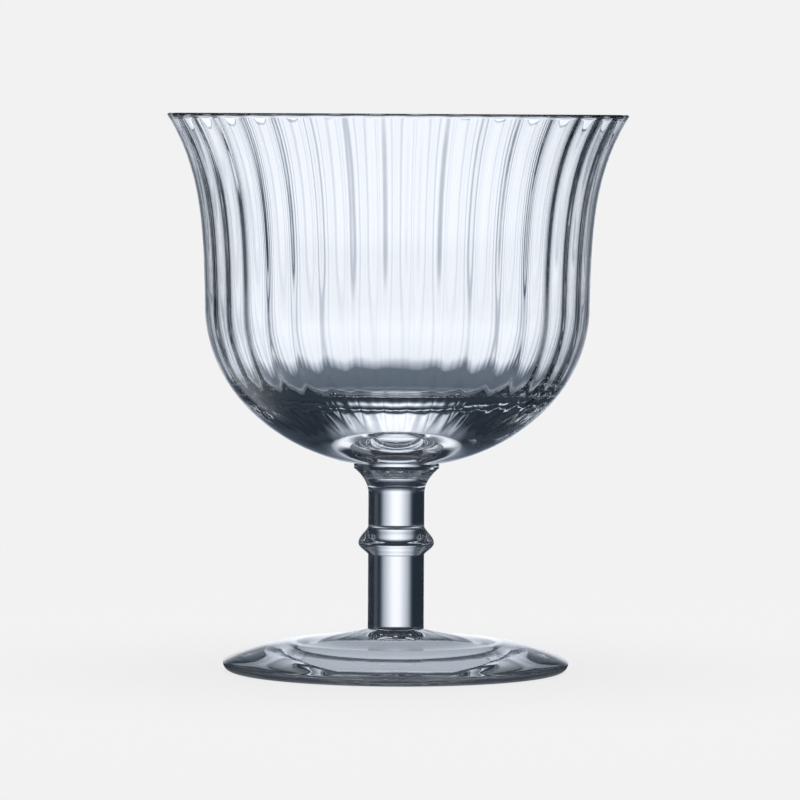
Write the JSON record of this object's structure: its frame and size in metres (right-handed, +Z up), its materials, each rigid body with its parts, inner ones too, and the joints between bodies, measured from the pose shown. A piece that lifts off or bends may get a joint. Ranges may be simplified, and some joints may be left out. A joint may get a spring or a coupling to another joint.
{
  "type": "stemmed cocktail glass",
  "caption": "Clear stemmed cocktail glass: fluted tulip bowl with a flared rim and thick base, short solid stem with a bead knop, and a domed round foot.",
  "frame": {"origin": "centre of the ring under the foot that the glass stands on", "axes": "+Z up along the axis of the glass, from the foot to the rim"},
  "size_m": [0.09, 0.09, 0.1085],
  "materials": {
    "bowl_glass": "clear mould-blown glass with soft vertical flutes, fire-polished",
    "stem_glass": "clear solid drawn glass, fire-polished",
    "foot_glass": "clear pressed glass, fire-polished edge"
  },
  "bodies": {
    "root": {"bowl": "bowl_glass", "stem": "stem_glass", "knop_ring": "stem_glass", "foot": "foot_glass"}
  },
  "joints": []
}
